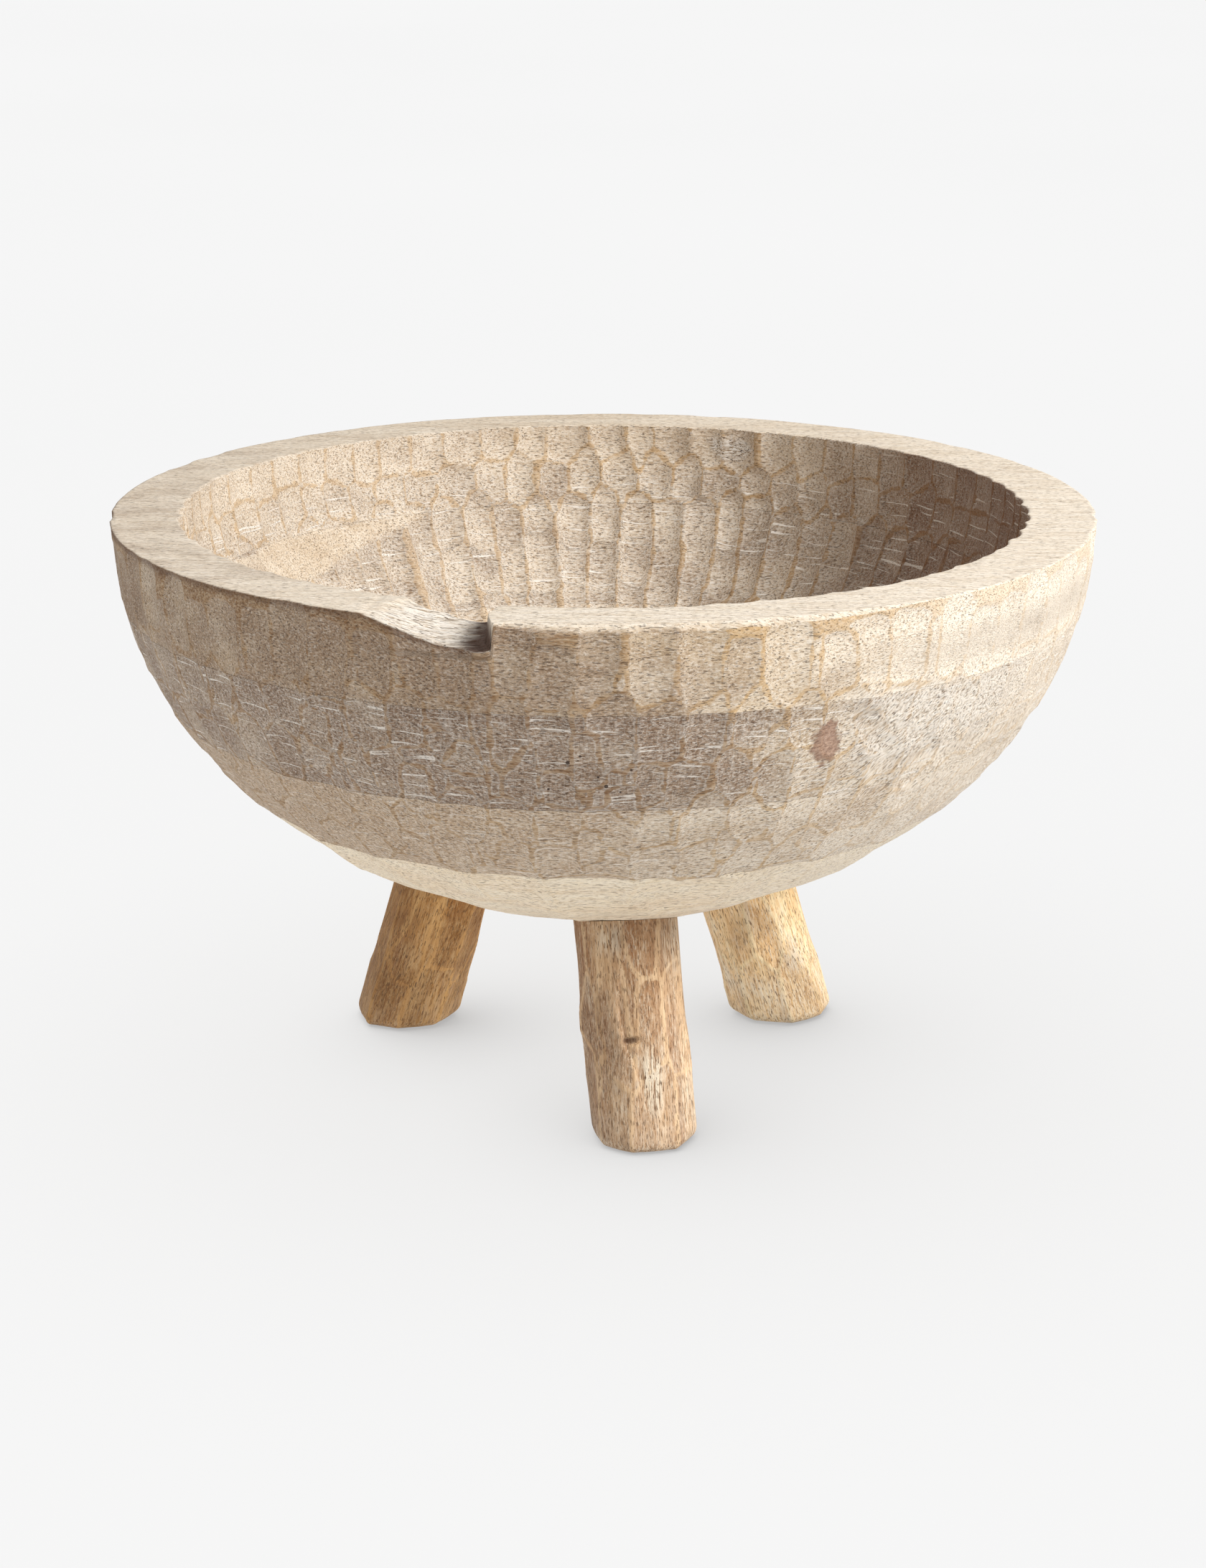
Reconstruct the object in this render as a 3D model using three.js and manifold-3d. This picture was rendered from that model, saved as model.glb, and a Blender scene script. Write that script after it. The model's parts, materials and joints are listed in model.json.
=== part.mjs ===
import * as THREE from 'three';
import { mergeVertices } from 'three/addons/utils/BufferGeometryUtils.js';
import Module from 'manifold-3d';

// A footed bowl, carved from four boards glued flat on each other, standing on three splayed peg legs.
// Millimetres, +Z up. The origin lies on the bowl's axis at floor level. The front, with the notch in
// its rim, faces -Y, and the grain of the boards runs along X.

// Driving dimensions of the bowl
const RIM_HEIGHT = 212;
const OUTER_RADIUS = 178;
const OUTER_DEPTH = 145;
const CHAMFER = 3;
const INNER_RADIUS = 153;
const INNER_DEPTH = 120;
const BASE_FLAT_RADIUS = 30;

// The boards that are full rings, from the rim down; the base board is what remains below them
const RIM_BOARD_THICKNESS = 31;
const UPPER_WALL_BOARD_THICKNESS = 36.5;
const LOWER_WALL_BOARD_THICKNESS = 33;
const GLUE_LINE = 0.1;

// The legs: round pegs that lean in towards the bowl's axis as they rise. A foot's azimuth is in
// degrees from the front, towards +X.
const LEG_RADIUS = 18;
const LEG_SPLAY = THREE.MathUtils.degToRad(17.7);
const LEGS = [
  { name: 'front', azimuth: 9.5, footDistance: 87 },
  { name: 'rear_left', azimuth: -115, footDistance: 86 },
  { name: 'rear_right', azimuth: 121, footDistance: 82 },
];

// The dowel pin inside each leg joint
const DOWEL_RADIUS = 6;
const DOWEL_IN_BOWL = 18;
const DOWEL_IN_LEG = 26;
const DOWEL_CHAMFER = 1;
const FIT_GAP = 0.3;

// The notch in the rim: a steep wall, and a ramp that rises from it back to the rim's top. The ramp is
// a list of [share of the width, share of the depth].
const NOTCH_AZIMUTH = THREE.MathUtils.degToRad(-12.6);
const NOTCH_DEPTH = 10.5;
const NOTCH_WIDTH = 42;
const NOTCH_FLOOR_SLOPE = THREE.MathUtils.degToRad(8);
const NOTCH_RAMP = [[0, 0.85], [0.16, 1], [0.4, 0.6], [0.64, 0.28], [1, 0]];

// How finely the round shapes are faceted
const BOWL_SIDES = 72;
const LEG_SIDES = 20;
const DOWEL_SIDES = 16;
const RING_ARC_STEPS = 4;
const BASE_ARC_STEPS = 8;

const WIDEST_HEIGHT = RIM_HEIGHT - CHAMFER;
const BASE_HEIGHT = WIDEST_HEIGHT - OUTER_DEPTH * Math.sqrt(1 - (BASE_FLAT_RADIUS / OUTER_RADIUS) ** 2);
const OVERSHOOT = 20;
const UP = new THREE.Vector3(0, 0, 1);

const wasm = await Module();
wasm.setup();

function toSolid(geometry) {
  const bare = geometry.clone();
  bare.deleteAttribute('normal');
  bare.deleteAttribute('uv');
  const merged = mergeVertices(bare);
  return new wasm.Manifold(new wasm.Mesh({
    numProp: 3,
    vertProperties: new Float32Array(merged.attributes.position.array),
    triVerts: new Uint32Array(merged.index.array),
  }));
}

function toGeometry(solid) {
  const mesh = solid.getMesh();
  const geometry = new THREE.BufferGeometry();
  geometry.setAttribute('position', new THREE.BufferAttribute(mesh.vertProperties, 3));
  geometry.setIndex(new THREE.BufferAttribute(mesh.triVerts, 1));
  geometry.computeVertexNormals();
  return geometry;
}

function cut(geometry, ...cutters) {
  return toGeometry(cutters.reduce((solid, cutter) => solid.subtract(toSolid(cutter)), toSolid(geometry)));
}

function turned(outline, sides) {
  return new THREE.LatheGeometry(outline, sides).rotateX(Math.PI / 2);
}

function woodMesh(name, geometry, color, roughness) {
  const mesh = new THREE.Mesh(geometry, new THREE.MeshStandardMaterial({ color, roughness, metalness: 0 }));
  mesh.name = name;
  return mesh;
}

// A wall's section is a quarter ellipse: its full radius at its centre height, and closed on the
// bowl's axis a full depth below that. These are its points from one height to another.
function wallArc(radius, depth, centreHeight, from, to, steps) {
  const angleAt = (height) => Math.asin(Math.min((centreHeight - height) / depth, 1));
  const points = [];
  for (let i = 0; i <= steps; i += 1) {
    const angle = THREE.MathUtils.lerp(angleAt(from), angleAt(to), i / steps);
    points.push(new THREE.Vector2(radius * Math.cos(angle), centreHeight - depth * Math.sin(angle)));
  }
  return points;
}

function outerArc(from, to, steps) {
  return wallArc(OUTER_RADIUS, OUTER_DEPTH, WIDEST_HEIGHT, from, to, steps);
}

function innerArc(from, to, steps) {
  return wallArc(INNER_RADIUS, INNER_DEPTH, RIM_HEIGHT, from, to, steps);
}

function ringBoard(outerPoints, innerPoints) {
  return turned([...outerPoints, ...innerPoints, outerPoints[0]], BOWL_SIDES);
}

function rimBoard(bottom) {
  const chamferEdge = new THREE.Vector2(OUTER_RADIUS - CHAMFER, RIM_HEIGHT);
  const outerPoints = [...outerArc(bottom, WIDEST_HEIGHT, RING_ARC_STEPS), chamferEdge];
  return cut(ringBoard(outerPoints, innerArc(RIM_HEIGHT, bottom, RING_ARC_STEPS)), notch());
}

function wallBoard(bottom, top) {
  return ringBoard(outerArc(bottom, top, RING_ARC_STEPS), innerArc(top, bottom, RING_ARC_STEPS));
}

function baseBoard(top, sockets) {
  const centre = new THREE.Vector2(0, BASE_HEIGHT);
  const floor = new THREE.Vector2(0, RIM_HEIGHT - INNER_DEPTH);
  const outerPoints = outerArc(BASE_HEIGHT, top, BASE_ARC_STEPS);
  const innerPoints = innerArc(top, floor.y, BASE_ARC_STEPS).slice(0, -1);
  return cut(turned([centre, ...outerPoints, ...innerPoints, floor], BOWL_SIDES), ...sockets);
}

// The notch is drawn as seen from outside the bowl, with its steep wall at zero and its ramp running
// away to the left, then pushed through the rim wall. Its floor drops towards the outside.
function notch() {
  const wall = OUTER_RADIUS - INNER_RADIUS;
  const outline = new THREE.Shape([
    new THREE.Vector2(0, OVERSHOOT),
    ...NOTCH_RAMP.map(([along, down]) => new THREE.Vector2(-along * NOTCH_WIDTH, -down * NOTCH_DEPTH)),
    new THREE.Vector2(-NOTCH_WIDTH - OVERSHOOT, OVERSHOOT),
  ]);
  return new THREE.ExtrudeGeometry(outline, { depth: wall + 2 * OVERSHOOT, bevelEnabled: false })
    .rotateX(Math.PI / 2)
    .translate(0, wall + OVERSHOOT, 0)
    .rotateX(NOTCH_FLOOR_SLOPE)
    .translate(0, -OUTER_RADIUS, RIM_HEIGHT)
    .rotateZ(NOTCH_AZIMUTH);
}

// A leg's frame has its origin at the centre of the foot and its +Z along the leg.
function legFrame({ azimuth, footDistance }) {
  const angle = THREE.MathUtils.degToRad(azimuth);
  const outward = new THREE.Vector3(Math.sin(angle), -Math.cos(angle), 0);
  const along = UP.clone()
    .multiplyScalar(Math.cos(LEG_SPLAY))
    .addScaledVector(outward, -Math.sin(LEG_SPLAY));
  const frame = new THREE.Group();
  frame.position.copy(outward).multiplyScalar(footDistance);
  frame.quaternion.setFromUnitVectors(UP, along);
  frame.updateMatrixWorld();
  return frame;
}

// The distance up a leg's centre line from the floor to the bowl's outer ellipse
function legLength({ footDistance }) {
  const run = Math.sin(LEG_SPLAY) / OUTER_RADIUS;
  const rise = Math.cos(LEG_SPLAY) / OUTER_DEPTH;
  const out = footDistance / OUTER_RADIUS;
  const down = WIDEST_HEIGHT / OUTER_DEPTH;
  const a = run ** 2 + rise ** 2;
  const b = out * run + down * rise;
  const c = out ** 2 + down ** 2 - 1;
  return (b - Math.sqrt(b ** 2 - a * c)) / a;
}

// The part of the bowl's outside that the legs meet, lowered by the fit gap
function undersideCutter(top) {
  const outline = [
    new THREE.Vector2(0, BASE_HEIGHT),
    ...outerArc(BASE_HEIGHT, top, BASE_ARC_STEPS),
    new THREE.Vector2(0, top),
  ];
  return turned(outline, BOWL_SIDES).translate(0, 0, -FIT_GAP);
}

function floorCutter() {
  const side = 2 * OUTER_RADIUS;
  return new THREE.BoxGeometry(side, side, side).translate(0, 0, -side / 2);
}

// The dowel pin, or with grow the hole for it, from its end in the leg to its end in the bowl. Zero is
// where the leg meets the bowl.
function dowelPin(grow = 0) {
  const radius = DOWEL_RADIUS + grow;
  const bottom = -DOWEL_IN_LEG - grow;
  const top = DOWEL_IN_BOWL + grow;
  const outline = [
    new THREE.Vector2(0, bottom),
    new THREE.Vector2(radius - DOWEL_CHAMFER, bottom),
    new THREE.Vector2(radius, bottom + DOWEL_CHAMFER),
    new THREE.Vector2(radius, top - DOWEL_CHAMFER),
    new THREE.Vector2(radius - DOWEL_CHAMFER, top),
    new THREE.Vector2(0, top),
  ];
  return turned(outline, DOWEL_SIDES);
}

function peg(length) {
  const full = length + 2 * OVERSHOOT;
  return new THREE.CylinderGeometry(LEG_RADIUS, LEG_RADIUS, full, LEG_SIDES)
    .rotateX(Math.PI / 2)
    .translate(0, 0, full / 2 - OVERSHOOT);
}

const bowl = new THREE.Group();

const rimBottom = RIM_HEIGHT - RIM_BOARD_THICKNESS;
const upperWallTop = rimBottom - GLUE_LINE;
const upperWallBottom = upperWallTop - UPPER_WALL_BOARD_THICKNESS;
const lowerWallTop = upperWallBottom - GLUE_LINE;
const lowerWallBottom = lowerWallTop - LOWER_WALL_BOARD_THICKNESS;
const baseTop = lowerWallBottom - GLUE_LINE;

const sockets = [];
for (const leg of LEGS) {
  const frame = legFrame(leg);
  const length = legLength(leg);
  const toFrame = frame.matrixWorld.clone().invert();
  const hole = dowelPin(FIT_GAP).translate(0, 0, length);
  const trims = [undersideCutter(baseTop), floorCutter()].map((cutter) => cutter.applyMatrix4(toFrame));
  const dowel = woodMesh(`${leg.name}_dowel`, dowelPin(), '#c9a878', 0.7);
  dowel.position.z = length;
  frame.add(woodMesh(`${leg.name}_leg`, cut(peg(length), ...trims, hole), '#b08e66', 0.75), dowel);
  sockets.push(hole.clone().applyMatrix4(frame.matrixWorld));
  bowl.add(frame);
}

bowl.add(
  woodMesh('rim_board', rimBoard(rimBottom), '#cbb59a', 0.7),
  woodMesh('upper_wall_board', wallBoard(upperWallBottom, upperWallTop), '#a89684', 0.75),
  woodMesh('lower_wall_board', wallBoard(lowerWallBottom, lowerWallTop), '#b3a18d', 0.75),
  woodMesh('base_board', baseBoard(baseTop, sockets), '#cdb594', 0.7),
);

export default bowl;
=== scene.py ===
"""A bowl carved with a gouge from four glued boards of limed wood, standing on three hewn legs.

Shapes are worked out in millimetres and scaled to metres when a mesh is made. The front, with the notch
in its rim, faces -Y. Azimuths are in degrees from the front, towards +X. The grain of the boards runs
along X.
"""

import json
import math
from collections import namedtuple

import bpy
import numpy as np
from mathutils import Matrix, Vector


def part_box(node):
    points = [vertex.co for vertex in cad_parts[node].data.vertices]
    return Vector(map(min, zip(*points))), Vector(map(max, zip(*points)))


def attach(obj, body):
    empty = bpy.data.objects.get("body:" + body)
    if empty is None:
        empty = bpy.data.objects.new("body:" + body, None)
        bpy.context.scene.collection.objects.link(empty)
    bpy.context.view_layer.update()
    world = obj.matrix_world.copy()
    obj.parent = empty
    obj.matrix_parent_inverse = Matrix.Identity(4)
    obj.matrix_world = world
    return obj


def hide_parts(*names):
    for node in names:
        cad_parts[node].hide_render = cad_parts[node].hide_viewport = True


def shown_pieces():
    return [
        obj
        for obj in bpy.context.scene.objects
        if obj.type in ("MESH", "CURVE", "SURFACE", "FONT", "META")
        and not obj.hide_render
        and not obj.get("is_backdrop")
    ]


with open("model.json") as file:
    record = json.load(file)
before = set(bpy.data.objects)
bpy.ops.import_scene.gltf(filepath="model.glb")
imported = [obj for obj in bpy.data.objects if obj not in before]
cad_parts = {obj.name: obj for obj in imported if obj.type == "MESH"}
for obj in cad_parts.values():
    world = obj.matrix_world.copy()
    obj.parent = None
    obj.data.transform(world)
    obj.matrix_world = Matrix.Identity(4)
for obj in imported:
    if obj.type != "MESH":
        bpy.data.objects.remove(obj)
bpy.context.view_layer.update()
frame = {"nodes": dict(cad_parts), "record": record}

MM = 0.001
SEED = 11

# The bowl's walls: quarter ellipses turned about Z
RIM_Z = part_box("rim_board")[1][2] / MM
OUTER_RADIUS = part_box("rim_board")[1][0] / MM
OUTER_DEPTH = 145.0
WIDEST_Z = RIM_Z - 3.0
INNER_RADIUS = 153.0
INNER_DEPTH = 120.0
BASE_FLAT_RADIUS = 30.0

# How far the ridges between the gouge's strokes stand above those ellipses
RIDGE_PROUD = 0.5
INNER_RIDGE_PROUD = 0.9

# The boards, from the rim down, and how many columns of points each has round it
BOARDS = ("rim_board", "upper_wall_board", "lower_wall_board", "base_board")
BOARD_COLUMNS = {"rim_board": 930, "upper_wall_board": 930, "lower_wall_board": 860, "base_board": 560}

# Rows of points up the rim board's two walls, over its top, and up the base board's two walls
RIM_ROWS = 30
RIM_TOP_ROWS = 38
BASE_OUTER_ROWS = 84
BASE_INNER_ROWS = 76

# How far the rim's inner corner is rounded
INNER_CORNER = 0.5

# The notch: its steep wall's azimuth and its floor, which drops outwards. The ramp is shares of the width
# away from the wall, and the shares of the depth there. The lean is how far the wall stands off its
# azimuth, at distances from the bowl's axis.
NOTCH_AZIMUTH = -12.6
NOTCH_DEPTH = 10.5
NOTCH_WIDTH = 42.0
NOTCH_FLOOR_SLOPE = math.tan(math.radians(8))
NOTCH_RAMP = ((0, 0.07, 0.14, 0.38, 0.57, 0.79, 0.93, 1), (0.76, 0.87, 0.9, 0.82, 0.65, 0.35, 0.12, 0))
NOTCH_WALL_LEAN = ((140, 153, 160, 166, 171, 176, 179), (0, 0, -0.7, -1.1, 0.2, 2.4, 4.2))

# The legs, the holes in them for their dowels, and the gap between a leg's top and the bowl
LEG_RADIUS = 18.0
LEG_SPLAY = math.radians(17.7)
LEG_FOOT_ROUNDING = 5.0
LEG_PROUD = 2.3
LEG_COLUMNS = 150
LEG_ROWS = 150
LEG_FOOT_ROWS = 8
DOWEL_HOLE_RADIUS = 6.3
DOWEL_HOLE_DEPTH = 26.3
FIT_GAP = 0.1

# The camera and the studio
CAMERA_PLACE = (-0.17, -1221.35, RIM_Z + 266.08)
CAMERA_TILT = 0.296006
CAMERA_LENS = 78.376
SKY_STRENGTH = 0.58
KEY_PLACE = (1.5, -0.75, 1.35)
KEY_TARGET = (0, 0, 0.15)
KEY_SIZE = 0.8
KEY_POWER = 39
OVERHEAD_DIRECTION = (0.15, -0.1, -1)
OVERHEAD_ANGLE = math.radians(90)
OVERHEAD_STRENGTH = 13.7
FLOOR_RADIUS = 9
FLOOR_SIDES = 64
FLOOR_Z = -0.0003
FLOOR_GLOW = 0.427


# ---------------------------------------------------------------- numbers

def smooth_step(low, high, value):
    share = np.clip((value - low) / (high - low), 0, 1)
    return share * share * (3 - 2 * share)


def round_the_rim(azimuth, table):
    """A value that changes with the azimuth in degrees, read from rows of (azimuth, value)."""
    at, values = zip(*table)
    return np.interp(azimuth, at, values, period=360)


def lattice_noise(points, size, seed):
    """Smooth noise from -1 to 1 with lumps of the given size, which is one number or one for each axis."""
    cells = points / np.asarray(size, float)
    corner = np.floor(cells).astype(np.int64)
    part = cells - corner
    part = part * part * (3 - 2 * part)
    total = np.zeros(points.shape[:-1])
    for step in np.ndindex(2, 2, 2):
        x, y, z = np.moveaxis(corner + step, -1, 0)
        mixed = x * 374761393 + y * 668265263 + z * 1103515245 + seed * 974634777
        mixed = (mixed ^ (mixed >> 13)) * 1274126177
        mixed = (mixed ^ (mixed >> 16)) & 0xFFFF
        weight = np.prod(np.where(step, part, 1 - part), axis=-1)
        total += weight * (mixed / 32767.5 - 1)
    return total


def layered_noise(points, size, seed, layers=3):
    size = np.asarray(size, float)
    total = sum(lattice_noise(points, size / 2 ** i, seed + i) / 2 ** i for i in range(layers))
    return total / (2 - 0.5 ** (layers - 1))


def polar(radius, angle, height):
    return np.stack([radius * np.sin(angle), -radius * np.cos(angle), height + 0 * angle], axis=-1)


# ---------------------------------------------------------------- walls and gouge strokes

class Wall:
    """A turned wall, measured by the arc length down from the rim. Side is 1 outside the bowl, -1 inside."""

    def __init__(self, radius, depth, centre_z, side):
        turn = np.linspace(0, math.pi / 2, 1200)
        self.r = np.append(radius, radius * np.cos(turn))
        self.z = np.append(RIM_Z, centre_z - depth * np.sin(turn))
        self.arc = np.append(0, np.cumsum(np.hypot(np.diff(self.r), np.diff(self.z))))
        across = np.append(1.0, depth * np.cos(turn))
        down = np.append(0.0, radius * np.sin(turn))
        length = np.hypot(across, down)
        self.normal_r = side * across / length
        self.normal_z = -side * down / length

    def arc_at(self, z):
        return np.interp(-z, -self.z, self.arc)

    def at(self, arc):
        return [np.interp(arc, self.arc, row) for row in (self.r, self.z, self.normal_r, self.normal_z)]


def gouge_rows(rng, rows):
    """Rows of strokes round an axis, with a little chance in all. Each is how many, their arc, half length,
    depth, and half width as a share of their pitch. A row with as many strokes as the one before carries
    its strokes on."""
    made = []
    for count, arc, half_length, depth, half_width in rows:
        pitch = 2 * math.pi / count
        above = made[-1] if made else {"angle": ()}
        angle = (np.arange(count) + rng.uniform(-0.18, 0.18, count)) * pitch
        if len(above["angle"]) == count:
            angle = above["angle"] + rng.normal(0, 0.07, count) * pitch
        made.append({
            "pitch": pitch,
            "angle": angle,
            "arc": arc + half_length * rng.uniform(-0.22, 0.22, count),
            "half_length": half_length * rng.uniform(0.85, 1.2, count),
            "depth": depth * rng.uniform(0.75, 1.25, count),
            "width": pitch * half_width * rng.uniform(0.86, 1.14, count),
            "tilt": rng.normal(0, 0.06 if half_width > 0.4 else 0.3, count),
            "name": rng.uniform(0, 100, count),
        })
    return made


def steepness(value, angle, arc, radius):
    """How fast a value changes over a grid of angles and arc lengths, the steeper way from each point."""
    turn = (np.roll(angle, -1, axis=1) - angle) % (2 * math.pi)
    round_step = np.abs(np.roll(value, -1, axis=1) - value) / (turn * radius)
    round_slope = np.maximum(round_step, np.roll(round_step, 1, axis=1))
    down_step = np.abs(np.diff(value, axis=0)) / np.maximum(np.abs(np.diff(arc, axis=0)), 0.05)
    down_slope = np.maximum(np.vstack([down_step, down_step[-1:]]), np.vstack([down_step[:1], down_step]))
    return np.hypot(round_slope, down_slope)


def gouge(rows, angle, arc, radius, wander):
    """How deep the strokes cut at each point, how far the point is from a ridge between two strokes, and its
    place in the stroke that cut it: across, along and the stroke's own number. Strokes that carry on in one
    column leave no ridge between them."""
    best, second, across, along, name = np.zeros((5, *angle.shape))
    column = np.full(angle.shape, -1)
    for row in rows:
        nearest = np.rint(angle / row["pitch"]).astype(int)
        for step in (-1, 0, 1):
            pick = (nearest + step) % len(row["angle"])
            turn = angle - row["angle"][pick]
            turn = (turn + math.pi) % (2 * math.pi) - math.pi
            v = arc - row["arc"][pick] + 1.5 * wander[1]
            u = turn * radius + 1.3 * wander[0] + row["tilt"][pick] * v
            width = row["width"][pick] * np.maximum(radius, 20)
            hollow = 1 - np.abs(u / width) ** 2.5 - np.abs(v / row["half_length"][pick]) ** 6
            cut = row["depth"][pick] * hollow
            deeper = cut > best
            this_column = pick + 1000 * len(row["angle"])
            other = column != this_column
            second = np.where(other, np.where(deeper, best, np.maximum(second, cut)), second)
            best = np.where(deeper, cut, best)
            column = np.where(deeper, this_column, column)
            across = np.where(deeper, u, across)
            along = np.where(deeper, v, along)
            name = np.where(deeper, row["name"][pick], name)
    lead = best - second
    edge = np.clip(lead / np.maximum(steepness(lead, angle, arc, radius), 0.01), 0, 12)
    return best, edge, np.stack([across, along, name], axis=-1)


# ---------------------------------------------------------------- patches: grids of points with their looks

LOOKS = ("edge", "grey", "lime", "chatter", "pale", "honey", "dark", "brown", "torn")


def patch(points, stroke=None, **looks):
    """A grid of points with their looks. Looks not named are 0, except edge, the distance to a ridge."""
    shape = points.shape[:2]
    made = {"points": points, "stroke": np.zeros(points.shape) if stroke is None else stroke}
    for look in LOOKS:
        made[look] = np.broadcast_to(looks.get(look, 10.0 if look == "edge" else 0.0), shape)
    return made


def stacked(patches):
    return {key: np.concatenate([each[key] for each in patches]) for key in patches[0]}


def between(first, last, shares):
    """Rows of points from one row to another, at the given shares of the way."""
    shares = np.asarray(shares)[:, None, None]
    return first[None] * (1 - shares) + last[None] * shares


# ---------------------------------------------------------------- the bowl's looks, by place

def outer_dark_bands(angle, z):
    """A darker band below the rim's top left of the notch, partly old wood and partly painted shade under
    the worn edge, and one at the second board's top.
    """
    azimuth = np.degrees(angle)
    place = polar(OUTER_RADIUS, angle, z)
    top = RIM_Z - notch_cut(polar(OUTER_RADIUS, angle, RIM_Z))
    drop = top - z + 1.0 * lattice_noise(place, (7, 7, 4), SEED + 71)
    band = smooth_step(3.2, 1.2, drop) * smooth_step(-12, -15, azimuth) * smooth_step(-150, -110, azimuth)
    glue_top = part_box("upper_wall_board")[1][2] / MM
    below = (z < glue_top) * smooth_step(glue_top - 7, glue_top, z) * smooth_step(-45, -15, azimuth)
    return 0.55 * band + 0.22 * below * smooth_step(45, 20, azimuth)


def outer_looks(angle, z):
    """How grey, limed and pale the outside is."""
    azimuth = np.degrees(angle)
    rim = round_the_rim(azimuth, ((-120, 0.8), (-60, 0.75), (-20, 0.9), (-8, 0.8), (8, 0.5), (13, 0.22),
                                  (26, 0.03), (45, 0.03), (110, 0.15), (180, 0.6)))
    upper = round_the_rim(azimuth, ((-120, 0.8), (-60, 0.75), (-30, 0.85), (0, 1.05), (10, 0.88), (18, 0.55),
                                    (27, 0.25), (60, 0.1), (110, 0.15), (180, 0.8)))
    lower = round_the_rim(azimuth, ((-90, 0.9), (-40, 0.95), (-10, 0.7), (30, 0.25), (70, 0.1), (180, 0.6)))
    level = board_of(z)
    return {
        "grey": np.choose(level, [rim, upper, lower, 0 * rim + 0.03]),
        "lime": np.choose(level, [0.4, 0.9, 0.8, 0.2]) + 0 * angle,
        "chatter": np.choose(level, [0.25, 1.0, 0.7, 0.0]) + 0 * angle,
        "dark": outer_dark_bands(angle, z),
        "pale": np.choose(level, [smooth_step(12, 45, azimuth) * smooth_step(150, 110, azimuth),
                                  0.15 + 0.5 * smooth_step(24, 40, azimuth),
                                  0.2 + 0.7 * smooth_step(10, 60, azimuth),
                                  # The base board is paler towards the right: painted light, for the key
                                  # light and the light bounced from the floor.
                                  0.5 + 0.4 * smooth_step(10, 50, azimuth)]) + 0 * angle,
        "honey": np.choose(level, [1, 1, 1, 0.2]) * (1 - 0.55 * smooth_step(15, 50, azimuth)),
        "torn": 0.65 * torn_by_knot(angle, z),
    }


def torn_by_knot(angle, z):
    """Where the gouge tore the grain that rises round the knot."""
    azimuth = np.degrees(angle)
    place = polar(OUTER_RADIUS, angle, z)
    drop = RIM_Z - z + 2 * lattice_noise(place, 11, SEED + 75)
    reach = azimuth + 4 * lattice_noise(place, 13, SEED + 76)
    across = smooth_step(27, 33, reach) * smooth_step(62, 46, reach)
    return across * smooth_step(29, 33, drop) * smooth_step(62, 50, drop)


def inner_looks(angle, z):
    """How grey, limed and pale the inside is."""
    azimuth = np.degrees(angle)
    grey = round_the_rim(azimuth, ((-150, 0.32), (-90, 0.38), (-30, 0.3), (60, 0.5), (90, 0.5), (130, 0.5),
                                   (155, 0.44), (172, 0.36), (180, 0.36), (195, 0.34)))
    # Painted shade: the inside's right faces away from the key light and is painted darker there, with a
    # little left in the deep centre.
    brown = round_the_rim(azimuth, ((-180, 0), (20, 0), (60, 0.45), (100, 0.77), (125, 0.58), (150, 0.08)))
    pale = round_the_rim(azimuth, ((-180, 0.55), (-150, 0.7), (-90, 0.5), (0, 0.8), (60, 0.2), (150, 0.4),
                                   (175, 0.5)))
    honey = round_the_rim(azimuth, ((-150, 0.75), (-40, 0.75), (20, 1), (160, 1)))
    deep = smooth_step(78, 108, RIM_Z - z)
    grey, brown, pale = (side * (1 - deep) + centre * deep
                         for side, centre in ((grey, 0.4), (brown, 0.2), (pale, 0.45)))
    level = board_of(z)
    top = smooth_step(RIM_Z - 22, RIM_Z - 12, z) * (1 - brown / 0.77)
    smooth = wedge(angle, z)
    return {
        "grey": np.clip(grey * (1 - 0.5 * top) * np.choose(level, [0.9, 1, 1, 0.8]) * (1 - smooth), 0, 1.2),
        "lime": (1 - 0.55 * top) * (1 - 0.7 * smooth),
        "chatter": (1.1 - 0.9 * top) * (1 - smooth),
        "pale": pale * (1 - 0.6 * smooth),
        "honey": honey * (1 - 0.8 * smooth),
        "brown": brown,
        "torn": rough_spot(angle, z),
    }


def wedge(angle, z):
    """A smooth wedge left uncut inside, along the glue line on the left, wider towards the front."""
    azimuth = np.degrees(angle)
    below = RIM_Z - z + 1.5 * lattice_noise(polar(INNER_RADIUS, angle, z), (16, 16, 6), SEED + 77)
    low = np.interp(azimuth, (-160, -152, -143, -130, -110, -80), (31, 34, 40, 47, 52, 50))
    level = smooth_step(30, 32.5, below) * smooth_step(low, low - 3, below)
    return level * smooth_step(-155, -148, azimuth) * smooth_step(-50, -80, azimuth)


def rough_spot(angle, z):
    """A rough torn spot high on the inside, a little right of the back's centre."""
    across = (np.degrees(angle) - 160.5) / 3.4
    down = (RIM_Z - z - 8) / 5.5
    place = polar(INNER_RADIUS, angle, z)
    return smooth_step(1.15, 0.7, np.hypot(across, down) + 0.3 * lattice_noise(place, 3, SEED + 78))


def board_of(z):
    """Which board a height belongs to, 0 for the rim board to 3 for the base board."""
    return sum((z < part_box(name)[0][2] / MM).astype(int) for name in BOARDS[:3])


# ---------------------------------------------------------------- the carved bowl

rng = np.random.default_rng(SEED)

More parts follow.
